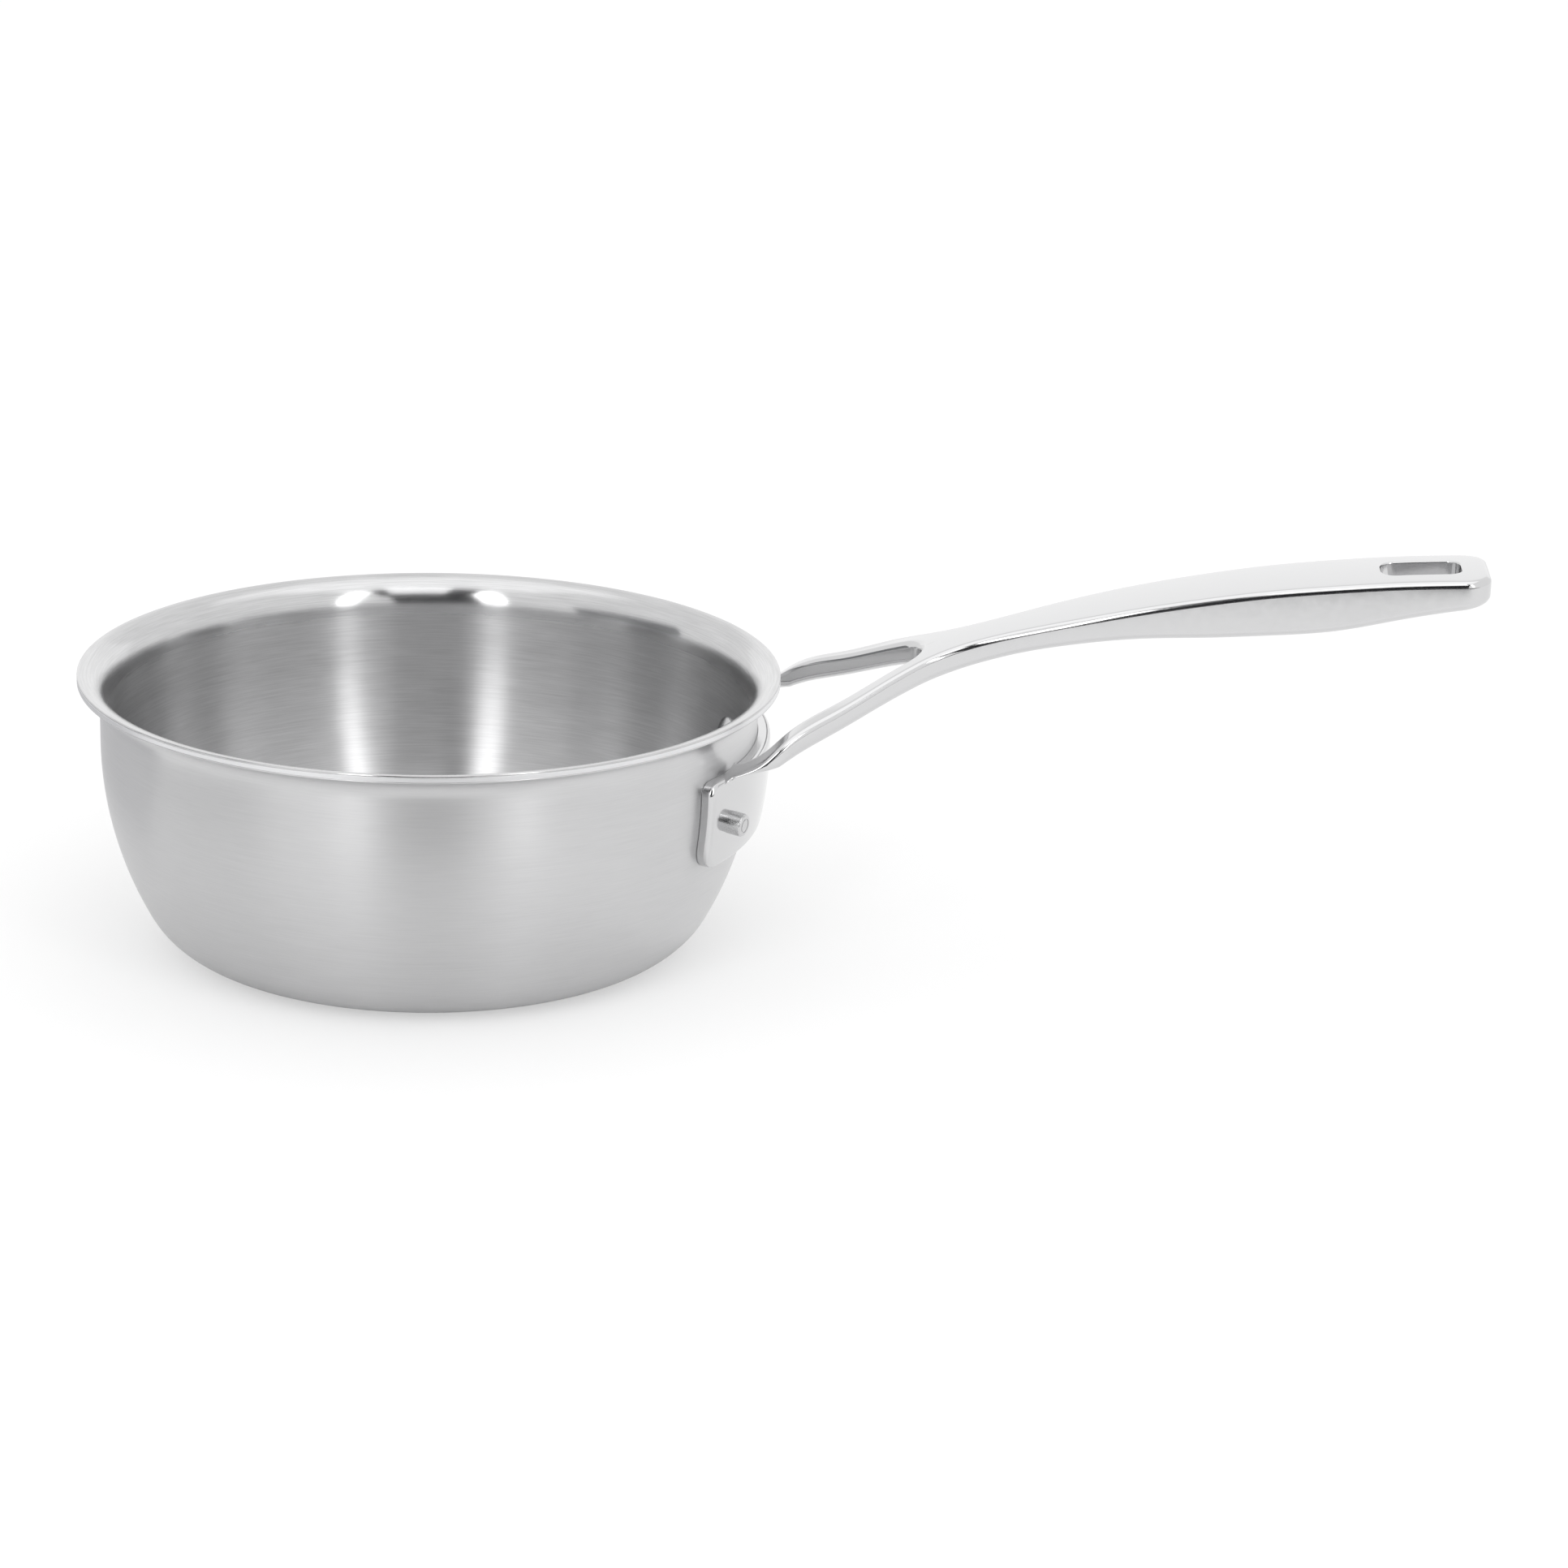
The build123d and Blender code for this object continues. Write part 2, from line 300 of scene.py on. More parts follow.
def tidy_normals(piece):
    """Merges what meets and turns every face outwards."""
    edit_all(piece)
    bpy.ops.mesh.remove_doubles(threshold=MERGE_DISTANCE * MM)
    bpy.ops.mesh.normals_make_consistent(inside=False)
    done()


def mirror_and_extrude(piece, rise):
    """Adds the other half of a flat half shape, and extrudes the whole of it up or down."""
    apply_modifier(piece, "MIRROR", use_axis=ACROSS_THE_MIDDLE, merge_threshold=MERGE_DISTANCE * MM)
    edit_all(piece)
    extrude((0, 0, rise))
    done()


def smooth(piece, angle=SMOOTH_ANGLE):
    """Smooth shading that keeps sharp edges, with each vertex normal led by its largest faces."""
    pick(piece)
    bpy.ops.object.shade_smooth_by_angle(angle=math.radians(angle))
    apply_modifier(piece, "WEIGHTED_NORMAL", keep_sharp=True, weight=NORMAL_WEIGHT)


# %% Helpers for outlines


def arc(centre, radius, start, turn, steps):
    """Points along an arc in a plane. Angles are in radians."""
    return [
        (
            centre[0] + radius * math.cos(start + turn * step / steps),
            centre[1] + radius * math.sin(start + turn * step / steps),
        )
        for step in range(steps + 1)
    ]


def evenly(points, count):
    """The same line divided into this many equal lengths."""
    line = np.array(points, float)
    length = np.concatenate([[0], np.cumsum(np.linalg.norm(np.diff(line, axis=0), axis=1))])
    places = np.linspace(0, length[-1], count + 1)
    return [tuple(np.interp(place, length, line[:, axis]) for axis in (0, 1)) for place in places]


def smooth_curve(across, up, flat_ends=False):
    """A cubic curve through the given points, as a function, with free or level ends."""
    across, up = np.array(across, float), np.array(up, float)
    gap, slope = np.diff(across), np.diff(up) / np.diff(across)
    size = len(across)
    matrix, right = np.zeros((size, size)), np.zeros(size)
    for row in range(1, size - 1):
        matrix[row, row - 1:row + 2] = gap[row - 1], 2 * (gap[row - 1] + gap[row]), gap[row]
        right[row] = 6 * (slope[row] - slope[row - 1])
    matrix[0, 0] = matrix[-1, -1] = 1
    if flat_ends:
        matrix[0, :2] = 2 * gap[0], gap[0]
        matrix[-1, -2:] = gap[-1], 2 * gap[-1]
        right[0], right[-1] = 6 * slope[0], -6 * slope[-1]
    bend = np.linalg.solve(matrix, right)

    def value(x):
        span = int(np.clip(np.searchsorted(across, x) - 1, 0, size - 2))
        left, wide = x - across[span], gap[span]
        here, there = bend[span], bend[span + 1]
        fall = slope[span] - wide * (2 * here + there) / 6
        return up[span] + left * (fall + left * (here / 2 + left * (there - here) / (6 * wide)))

    return value


# %% [markdown]
# The bowl's sheets
#
# A press draws the bowl from one flat disc of bonded metal, so each sheet is a solid of
# revolution. Its section is drawn once, from the axis out to the lip and back, and the spin
# operator turns it round. Many short steps are used instead of a subdivision surface, because
# the radii then stay exactly those of the drawing.

# %% Section of one sheet
SECTION_STEP = 1.5
TURN_STEPS = 192
EDGE_STEPS = 4


def steps_for(length):
    """How many steps a line of this length needs. A line has two at least."""
    return max(2, math.ceil(length / SECTION_STEP))


def wall_line(inset):
    """The section's line this far inside the outer surface, from the axis to the lip's edge."""
    corner_inner = CORNER_RADIUS - inset
    belly_inner = BELLY_RADIUS - inset
    flare_outer = FLARE_RADIUS + inset
    neck_x = NECK_RADIUS - inset
    rest = QUARTER_TURN - CORNER_TURN
    corner_centre = (BASE_RADIUS, CORNER_RADIUS)
    floor = evenly([(0, inset), (BASE_RADIUS, inset)], steps_for(BASE_RADIUS))
    corner = arc(corner_centre, corner_inner, -QUARTER_TURN, CORNER_TURN, steps_for(corner_inner))
    belly = arc((BELLY_CENTRE, BELLY_TOP), belly_inner, -rest, rest, steps_for(belly_inner * rest))
    neck = evenly([(neck_x, BELLY_TOP), (neck_x, FLARE_START)], steps_for(FLARE_START - BELLY_TOP))
    flare_steps = 2 * steps_for(flare_outer)
    flare = arc((LIP_RADIUS, FLARE_START), flare_outer, HALF_TURN, -QUARTER_TURN, flare_steps)
    return floor[:-1] + corner[:-1] + belly[:-1] + neck[:-1] + flare


def rounded_edge(low, high, low_round, high_round):
    """The sheet's cut edge at the lip, from its lower line to its upper one, corners rounded."""
    low_centre = (LIP_RADIUS - low_round, low + low_round)
    high_centre = (LIP_RADIUS - high_round, high - high_round)
    lower = arc(low_centre, low_round, -QUARTER_TURN, QUARTER_TURN, EDGE_STEPS)
    upper = arc(high_centre, high_round, 0, QUARTER_TURN, EDGE_STEPS)
    return lower + upper


def bowl_sheet(name, outer_inset, inner_inset, low_round, high_round):
    """One sheet of the bowl: its section spun round the axis into a closed thin shell."""
    outer, inner = wall_line(outer_inset), wall_line(inner_inset)
    edge = rounded_edge(outer[-1][1], inner[-1][1], low_round, high_round)
    outer = [point for point in outer if point[0] < LIP_RADIUS - 2 * low_round]
    inner = [point for point in inner if point[0] < LIP_RADIUS - 2 * high_round]
    return spin_section(name, outer + edge + inner[::-1], TURN_STEPS)


# %% The three sheets
CORE_INSET = OUTER_SHEET
INNER_INSET = OUTER_SHEET + CORE_SHEET
outer_sheet, core_sheet, inner_sheet = (
    bowl_sheet(*sheet)
    for sheet in (
        ("bowl_outer_sheet", 0, CORE_INSET, LIP_ROUND, SHEET_EDGE_ROUND),
        ("bowl_core_sheet", CORE_INSET, INNER_INSET, SHEET_EDGE_ROUND, SHEET_EDGE_ROUND),
        ("bowl_inner_sheet", INNER_INSET, WALL, SHEET_EDGE_ROUND, LIP_ROUND),
    )
)
print("faces in the outer sheet:", len(outer_sheet.data.polygons))

# %% [markdown]
# The rivet holes
#
# The sheets are drilled together, square to the wall, so one drill shape cuts all three. It
# drills the handle's pad too, once that is made.

# %% Drilling
HOLE_RADIUS = 3.22
DRILL_SIDES = 48
DRILL_LENGTH = 8 * WALL


def on_circle(radius, around, height):
    """A place at this distance and angle round the bowl's axis."""
    return (radius * math.cos(around), radius * math.sin(around), height)


def rivet_place(side):
    """Where a rivet passes the outer surface, with local Z out along the rivet."""
    around = side * RIVET_ANGLE
    tilt = math.asin((BELLY_TOP - RIVET_HEIGHT) / BELLY_RADIUS)
    radius = BELLY_CENTRE + BELLY_RADIUS * math.cos(tilt)
    outward = Vector(on_circle(math.cos(tilt), around, -math.sin(tilt)))
    spot = Vector(on_circle(radius, around, RIVET_HEIGHT)) * MM
    return Matrix.Translation(spot) @ outward.to_track_quat("Z", "Y").to_matrix().to_4x4()


def drill(piece):
    """Cuts both rivet holes through a piece."""
    size = {"radius": HOLE_RADIUS * MM, "depth": DRILL_LENGTH * MM}
    for side in (1, -1):
        deselect()
        bpy.ops.mesh.primitive_cylinder_add(vertices=DRILL_SIDES, **size)
        tool = bpy.context.object
        tool.matrix_world = rivet_place(side)
        combine(piece, tool, "DIFFERENCE")


for sheet in (outer_sheet, core_sheet, inner_sheet):
    drill(sheet)
    smooth(sheet)
print("drilled", HOLE_RADIUS * 2, "mm holes at", RIVET_HEIGHT, "mm")

# %% [markdown]
# The handle's blank
#
# Arms, fork and grip are one flat shape seen from above. Half of it is drawn as two lines, the
# outer side and the inner side, with the same number of points, and the bridge operator fills
# the strip between them with neat rungs. A mirror gives the other half.

# %% Outer and inner sides
ARM_POINTS = 110
GRIP_POINTS = 96
SLOT_POINTS = (10, 26, 18)
PATH_STEPS = 24
ROOT_RADIUS = NECK_RADIUS + PAD_THICKNESS / 2

knee_x = NECK_RADIUS + KNEE_REACH
knee_start = knee_x - KNEE_RADIUS * math.tan(ARM_ANGLE / 2)
meet_x = knee_x + (ARM_SIDE - WAIST_SIDE) / math.tan(ARM_ANGLE)
waist_x = meet_x + WAIST_RADIUS * math.tan(ARM_ANGLE / 2)
swell_end = TIP_X - TIP_RADIUS


def swell_curve(start, end, narrow, wide):
    """The grip's swell between two places, from its narrow to its wide half width."""
    xs = [start + share * (end - start) for share, growth in SWELL_SHARES]
    sides = [narrow + growth * (wide - narrow) for share, growth in SWELL_SHARES]
    return smooth_curve(xs, sides, flat_ends=True)


grip_side = swell_curve(waist_x, swell_end, WAIST_SIDE, GRIP_SIDE)


def round_corner(place, radius, start, turn):
    """A corner of the outline, as one arc."""
    return arc(place, radius, start, turn, PATH_STEPS)


def outer_arm():
    """From the pad along the arm's outside to the waist."""
    root = (math.sqrt(ROOT_RADIUS ** 2 - ARM_SIDE ** 2), ARM_SIDE)
    knee_centre = (knee_start, ARM_SIDE - KNEE_RADIUS)
    waist_centre = (waist_x, WAIST_SIDE + WAIST_RADIUS)
    knee = round_corner(knee_centre, KNEE_RADIUS, QUARTER_TURN, -ARM_ANGLE)
    waist = round_corner(waist_centre, WAIST_RADIUS, -QUARTER_TURN - ARM_ANGLE, ARM_ANGLE)
    return [root] + knee + waist


def inner_arm():
    """From the pad along the fork's gap to the middle of its nose."""
    side = ARM_SIDE - ARM_WIDTH
    radius = KNEE_RADIUS - ARM_WIDTH
    root = (math.sqrt(ROOT_RADIUS ** 2 - side ** 2), side)
    nose_corner = knee_x - ARM_WIDTH * math.tan(ARM_ANGLE / 2) + side / math.tan(ARM_ANGLE)
    nose_centre = (nose_corner - NOSE_RADIUS / math.sin(ARM_ANGLE), 0)
    knee = round_corner((knee_start, side - radius), radius, QUARTER_TURN, -ARM_ANGLE)
    nose_turn = QUARTER_TURN - ARM_ANGLE
    nose = round_corner(nose_centre, NOSE_RADIUS, nose_turn, -nose_turn)
    return [root] + knee + nose


def grip_line(start, end):
    """Along the grip's side between two places."""
    xs = np.linspace(start, end, GRIP_POINTS)
    return [(x, grip_side(x)) for x in xs]


def chain_pairs():
    """The two sides as equally many points, stretch by stretch, so that the rungs stay square."""
    half = PATH_STEPS // 2
    eighth = QUARTER_TURN / 2
    slot_left = (SLOT_START + SLOT_CORNER, SLOT_SIDE - SLOT_CORNER)
    slot_right = (SLOT_END - SLOT_CORNER, SLOT_SIDE - SLOT_CORNER)
    first = [(SLOT_START, 0)] + arc(slot_left, SLOT_CORNER, HALF_TURN, -eighth, half)
    second = arc(slot_left, SLOT_CORNER, HALF_TURN - eighth, -eighth, half)
    second += arc(slot_right, SLOT_CORNER, QUARTER_TURN, -eighth, half)
    third = arc(slot_right, SLOT_CORNER, eighth, -eighth, half) + [(SLOT_END, 0)]
    tip_centre = (swell_end, GRIP_SIDE - TIP_RADIUS)
    tip = round_corner(tip_centre, TIP_RADIUS, QUARTER_TURN, -QUARTER_TURN)
    slot_near = SLOT_START - SLOT_CORNER / 2
    beside_slot = grip_line(SLOT_START + SLOT_CORNER, swell_end) + tip[:half + 1]
    pairs = [
        (inner_arm(), outer_arm(), ARM_POINTS),
        ([(inner_arm()[-1][0], 0), (SLOT_START, 0)], grip_line(waist_x, slot_near), GRIP_POINTS),
        (first, grip_line(slot_near, SLOT_START + SLOT_CORNER), SLOT_POINTS[0]),
        (second, beside_slot, SLOT_POINTS[1]),
        (third, tip[half:] + [(TIP_X, 0)], SLOT_POINTS[2]),
    ]
    inner, outer = [], []
    for inside, outside, count in pairs:
        inner += evenly(inside, count)[:-1]
        outer += evenly(outside, count)[:-1]
    return inner + [(SLOT_END, 0)], outer + [(TIP_X, 0)]


def flare_at(radius):
    """How far the round at an arm's root stands out, at this distance from the bowl's axis."""
    away = min(max(radius - PAD_SKIN_RADIUS, 0), ROOT_FLARE)
    return ROOT_FLARE - math.sqrt(ROOT_FLARE ** 2 - (ROOT_FLARE - away) ** 2)


def flared(points, way):
    """Widens an arm where it meets the pad, as the casting's inside corner is rounded."""
    return [(x, y + way * flare_at(math.hypot(x, y))) for x, y in points]


inner_side, outer_side = chain_pairs()
inner_side, outer_side = flared(inner_side, -1), flared(outer_side, 1)
print("rungs:", len(inner_side), "and", len(outer_side))

# %% The flat blank
BLANK_THICKNESS = 20.0


def bridge(name, first, second, height):
    """The strip between two lines with as many points, flat at this height."""
    lines = [draw_line("side", [(x, y, height) for x, y in line]) for line in (first, second)]
    piece = join(name, *lines)
    edit(piece)
    bpy.context.tool_settings.mesh_select_mode = PICK_EDGES
    bpy.ops.mesh.select_all(action="SELECT")
    bpy.ops.mesh.bridge_edge_loops()
    done()
    return piece


blank = bridge("blank", inner_side, outer_side, BLANK_THICKNESS)
mirror_and_extrude(blank, -BLANK_THICKNESS)
tidy_normals(blank)
print("faces in the blank:", len(blank.data.polygons))

# %% [markdown]
# Rounding the edges while it is flat
#
# A bevel is easiest on a flat blank, where every rim edge lies at one height. The rims round
# the slot get a smaller round than the outside. After that each rung across the top and the
# underside is divided, so that the crowned faces can bend.

# %% Bevels and cross cuts
ROUND_SEGMENTS = 6
SLOT_SEGMENTS = 3
CROSS_CUTS = 4
LEVEL = 0.01
RIM_ANGLE = math.radians(60)
ROUND_PROFILE = 0.5


def at_level(part, height):
    return all(abs(vertex.co.z / MM - height) < LEVEL for vertex in part.verts)


def middle_of(edge):
    return (edge.verts[0].co + edge.verts[1].co) / (2 * MM)


def is_rim(edge, height):
    """An edge where the flat face at this height turns down into a side."""
    if not at_level(edge, height) or len(edge.link_faces) != 2:
        return False
    return edge.calc_face_angle(0) > RIM_ANGLE


def in_pad(edge):
    place = middle_of(edge)
    return math.hypot(place.x, place.y) < ROOT_RADIUS + LEVEL


def on_slot(edge):
    place = middle_of(edge)
    return SLOT_START - LEVEL < place.x < SLOT_END + LEVEL and abs(place.y) < SLOT_SIDE + LEVEL


def bevel(radius, segments):
    """Rounds the selected edges."""
    settings = {"profile": ROUND_PROFILE, "clamp_overlap": False}
    bpy.ops.mesh.bevel(offset=radius * MM, segments=segments, **settings)


def round_rims(piece, height, outside, slot):
    """Rounds the rims at this height: the outer ones, and then the slot's."""
    edit(piece)
    pick_parts(piece, "edges", lambda e: is_rim(e, height) and not in_pad(e) and not on_slot(e))
    bevel(outside, ROUND_SEGMENTS)
    pick_parts(piece, "edges", lambda e: is_rim(e, height) and on_slot(e))
    bevel(slot, SLOT_SEGMENTS)
    done()


def is_rung(edge, height):
    """An edge across the flat face, from one side of a strip to the other."""
    if not at_level(edge, height):
        return False
    if any(not at_level(face, height) for face in edge.link_faces):
        return False
    return any(abs(vertex.co.y / MM) > LEVEL for vertex in edge.verts)


round_rims(blank, BLANK_THICKNESS, TOP_ROUND, SLOT_ROUND)
round_rims(blank, 0, UNDER_ROUND, SLOT_ROUND)
edit(blank)
rungs = pick_parts(blank, "edges", lambda e: is_rung(e, BLANK_THICKNESS) or is_rung(e, 0))
bpy.ops.mesh.subdivide(number_cuts=CROSS_CUTS)
done()
print("rungs divided:", rungs, "faces:", len(blank.data.polygons))

# %% [markdown]
# Bending it up
#
# The flat blank is now pressed to the side view. A vertex near the top keeps its distance below
# the top line, one near the underside keeps its distance above the lower line, and both lines
# are crowned across the handle. Where an arm is thinner than its two rounds, they shrink.

# %% The side view as two lines
side_x = [NECK_RADIUS + reach * HANDLE_LENGTH for reach, rise, depth in SIDE_SHARES]
side_top = [PAD_TOP + rise * HANDLE_RISE for reach, rise, depth in SIDE_SHARES]
side_under = [top - depth * GRIP_DEPTH for top, (reach, rise, depth) in zip(side_top, SIDE_SHARES)]
top_line = smooth_curve(side_x, side_top)
under_line = smooth_curve(side_x, side_under)
root_low = top_line(side_x[0]) - ROOT_START_DEPTH
root_high = top_line(ROOT_END_X) - ROOT_END_DEPTH


def crowned(height, y):
    """A height on the middle line, carried out to this distance from it over the crown."""
    rise = height - PAD_TOP + CROWN_RADIUS
    return math.sqrt(rise ** 2 - y ** 2) + PAD_TOP - CROWN_RADIUS


def root_line(x):
    """The underside where an arm grows out of the pad."""
    share = (x - side_x[0]) / (ROOT_END_X - side_x[0])
    return root_low + share * (root_high - root_low)


def top_at(x, y):
    return crowned(top_line(x), y)


def under_at(x, y):
    low = under_line(x)
    if x < ROOT_END_X:
        low = max(low, root_line(x))
    return crowned(low, y) - flare_at(math.hypot(x, y))


def press(piece):
    """Moves each vertex of the blank up to the side view."""
    for vertex in piece.data.vertices:
        x, y, z = (value / MM for value in vertex.co)
        high, low = top_at(x, y), under_at(x, y)
        squeeze = min(1, (high - low) / (TOP_ROUND + UNDER_ROUND + LEVEL))
        if z > BLANK_THICKNESS / 2:
            height = high - (BLANK_THICKNESS - z) * squeeze
        else:
            height = low + z * squeeze
        vertex.co.z = height * MM
    piece.data.update()


press(blank)
print("tip of the handle at", round(top_at(TIP_X, 0), 1), "mm")

# %% [markdown]
# The hollow under the grip
#
# A solid grip of this size would be heavy and would shrink badly in the mould, so such handles
# are cast hollow from below. The room is drawn like the blank, as half an outline bridged to the
# middle line, and cut out.

# %% Hollow
HOLLOW_POINTS = 60


def hollow_side():
    """Half of the hollow's outline from above, from one end of the middle line to the other."""
    swell = swell_curve(HOLLOW_START, HOLLOW_END, HOLLOW_START_SIDE, GRIP_SIDE - HOLLOW_WALL)
    first, last = HOLLOW_START + HOLLOW_CORNER, HOLLOW_END - HOLLOW_CORNER
    near_centre = (first, swell(first) - HOLLOW_CORNER)
    far_centre = (last, swell(last) - HOLLOW_CORNER)
    near = round_corner(near_centre, HOLLOW_CORNER, HALF_TURN, -QUARTER_TURN)
    far = round_corner(far_centre, HOLLOW_CORNER, QUARTER_TURN, -QUARTER_TURN)
    middle = [(x, swell(x)) for x in np.linspace(first, last, HOLLOW_POINTS)]
    return [(HOLLOW_START, 0)] + near + middle[1:-1] + far + [(HOLLOW_END, 0)]


def hollow_tool():
    """The hollow's room as a block, from the pad's top up to the inside of the grip's roof."""
    side = evenly(hollow_side(), 2 * HOLLOW_POINTS)
    middle = [(x, 0) for x in np.linspace(HOLLOW_START, HOLLOW_END, 2 * HOLLOW_POINTS + 1)]
    tool = bridge("hollow_tool", side[1:-1], middle[1:-1], PAD_TOP)
    edit_all(tool)
    bpy.ops.mesh.subdivide(number_cuts=1)
    done()
    mirror_and_extrude(tool, HANDLE_RISE)
    for vertex in tool.data.vertices:
        x, y, z = (value / MM for value in vertex.co)
        if z > PAD_TOP + LEVEL:
            vertex.co.z = crowned(top_line(x) - HOLLOW_ROOF, y) * MM
    tidy_normals(tool)
    return tool


combine(blank, hollow_tool(), "DIFFERENCE")
print("faces with the hollow:", len(blank.data.polygons))

# %% [markdown]
# The pad on the wall
#
# The pad is a plate with four rounded corners, rolled to the bowl's own curve. It is drawn
# unrolled, with its edges rounded while flat, and then wrapped on the wall, so that it lies
# against it everywhere. The arms are fused to it with a union, as the casting is one piece.

# %% Pad
PAD_POINTS = (8, 92, 8)
PAD_CUTS = 13
PAD_BACK_ROUND = 0.3
PAD_SEGMENTS = 8
PAD_BACK_SEGMENTS = 3


def pad_half(edge, corner, way):
    """One half of the unrolled pad's outline: its corners and the straight edge between them."""
    left_centre = (corner - PAD_SKIN_RADIUS * PAD_HALF_ANGLE, edge - way * corner)
    left = round_corner(left_centre, corner, HALF_TURN, -way * QUARTER_TURN)
    right = [(-x, z) for x, z in reversed(left)]
    chain = []
    for part, count in zip((left, [left[-1], right[0]], right), PAD_POINTS):
        chain += evenly(part, count)[:-1]
    return chain + [right[-1]]


def is_across(edge):
    """An edge of the flat pad that runs up it, on its skin, its back or its two ends."""
    here, there = (vertex.co / MM for vertex in edge.verts)
    return abs(here.y - there.y) > PAD_HIGH_CORNER


def round_pad_face(piece, height, radius, segments):
    """Rounds one face's rim, and divides the face into rungs from its upper to its lower edge."""
    pick_parts(piece, "edges", lambda e: is_rim(e, height))
    bevel(radius, segments)
    # Only the one large face inside the rim has more than four corners
    pick_parts(piece, "faces", lambda f: at_level(f, height) and len(f.verts) > 4)
    bpy.ops.mesh.delete(type="ONLY_FACE")
    pick_parts(piece, "edges", lambda e: e.is_boundary and not is_across(e))
    bpy.ops.mesh.bridge_edge_loops()


def flat_pad():
    """The unrolled pad: X is along the wall, Y is the height, Z is out from the wall."""
    outline = pad_half(PAD_TOP, PAD_HIGH_CORNER, 1) + pad_half(PAD_BOTTOM, PAD_LOW_CORNER, -1)[::-1]
    piece = draw_line("pad", [(x, y, PAD_THICKNESS) for x, y in outline])
    edit_all(piece)
    bpy.ops.mesh.edge_face_add()
    extrude((0, 0, -PAD_THICKNESS))
    done()
    tidy_normals(piece)
    edit(piece)
    round_pad_face(piece, PAD_THICKNESS, PAD_EDGE_ROUND, PAD_SEGMENTS)
    round_pad_face(piece, 0, PAD_BACK_ROUND, PAD_BACK_SEGMENTS)
    pick_parts(piece, "edges", is_across)
    bpy.ops.mesh.subdivide(number_cuts=PAD_CUTS)
    done()
    return piece


def wrap(piece):
    """Rolls the flat pad on the bowl's outer surface."""
    for vertex in piece.data.vertices:
        along, height, out = (value / MM for value in vertex.co)
        drop = max(BELLY_TOP - height, 0)
        radius = BELLY_CENTRE + math.sqrt((BELLY_RADIUS + out) ** 2 - drop ** 2)
        vertex.co = metres(on_circle(radius, along / PAD_SKIN_RADIUS, height))
    piece.data.update()
    tidy_normals(piece)


pad = flat_pad()
wrap(pad)
combine(blank, pad, "UNION")
drill(blank)
blank.name = "handle_casting"
print("faces in the casting:", len(blank.data.polygons))

# %% [markdown]
# The rivets
#
# Each rivet has a low dome inside the bowl, a shank, and a tail on the pad with a small ring
# pressed in its end. The section is spun round its own axis and then put through the wall. The
# two seats take the curve of the surface that they lie on.

# %% Rivets
RIVET_STEPS = 72
DOME_STEPS = 14
HEAD_RIM_STEPS = 4
HEAD_RIM_ROUND = 0.22
TAIL_STEPS = 6
RIVET_SMOOTH_ANGLE = 30


def rivet_head():
    """The dome from its middle to its rim, and the rim's round. Heights are out from the wall."""
    edge_height = -WALL - HEAD_EDGE
    sagitta = HEAD_HEIGHT - HEAD_EDGE
    sphere = (HEAD_RADIUS ** 2 + sagitta ** 2) / (2 * sagitta)
    reach = math.asin(HEAD_RADIUS / sphere) * (1 - HEAD_RIM_ROUND / HEAD_RADIUS)
    dome = arc((0, sphere - WALL - HEAD_HEIGHT), sphere, -QUARTER_TURN, reach, DOME_STEPS)
    rim_centre = (HEAD_RADIUS - HEAD_RIM_ROUND, edge_height + HEAD_RIM_ROUND / 2)
    start = math.atan2(dome[-1][1] - edge_height, dome[-1][0] - rim_centre[0])
    return dome + arc(rim_centre, HEAD_RIM_ROUND, start, -start, HEAD_RIM_STEPS)


def rivet_section():
    """From the middle of the dome, round the rivet, to the middle of its tail."""
    head_seat, tail_seat, end = -WALL, PAD_THICKNESS, PAD_THICKNESS + TAIL_HEIGHT
    shank = [(SHANK_RADIUS, head_seat), (SHANK_RADIUS, tail_seat)]
    tail_centre = (TAIL_RADIUS - TAIL_ROUND, end - TAIL_ROUND)
    tail = arc(tail_centre, TAIL_ROUND, 0, QUARTER_TURN, TAIL_STEPS)
    inner_ring = RING_RADIUS - RING_WIDTH
    ring = [
        (RING_RADIUS, end), (RING_RADIUS, end - RING_DEPTH),
        (inner_ring, end - RING_DEPTH), (inner_ring, end), (0, end),
    ]
    seats = [(HEAD_RADIUS, head_seat)] + shank + [(TAIL_RADIUS, tail_seat)]
    return rivet_head() + seats + tail + ring


def seat_on(piece, place, level):
    """Moves the vertices of the flat seat at this level on to the curved surface at that level."""
    for vertex in piece.data.vertices:
        if abs(vertex.co.z / MM - level) > MERGE_DISTANCE:
            continue
        spot = (place @ vertex.co) / MM
        across = math.hypot(spot.x, spot.y) - BELLY_CENTRE
        out = math.hypot(across, spot.z - BELLY_TOP) - BELLY_RADIUS
        vertex.co.z += (level - out) * MM


def rivet(name, side):
    """One rivet, spun round its own axis and put through the wall on one side of the handle."""
    piece = spin_section(name, rivet_section(), RIVET_STEPS)
    place = rivet_place(side)
    seat_on(piece, place, -WALL)
    seat_on(piece, place, PAD_THICKNESS)
    piece.data.transform(place)
    smooth(piece, RIVET_SMOOTH_ANGLE)
    return piece


rivet_left = rivet("rivet_left_steel", 1)
rivet_right = rivet("rivet_right_steel", -1)
print("rivets", 2 * HEAD_RADIUS, "mm across the head")

# %% Each piece takes the place of its solid
smooth(blank)
for piece, node in (
    (outer_sheet, "outer_ply"),
    (core_sheet, "core_ply"),
    (inner_sheet, "inner_ply"),
    (blank, "handle"),
    (rivet_left, "rivet_left"),
    (rivet_right, "rivet_right"),
):
    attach(piece, "root")
    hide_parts(node)

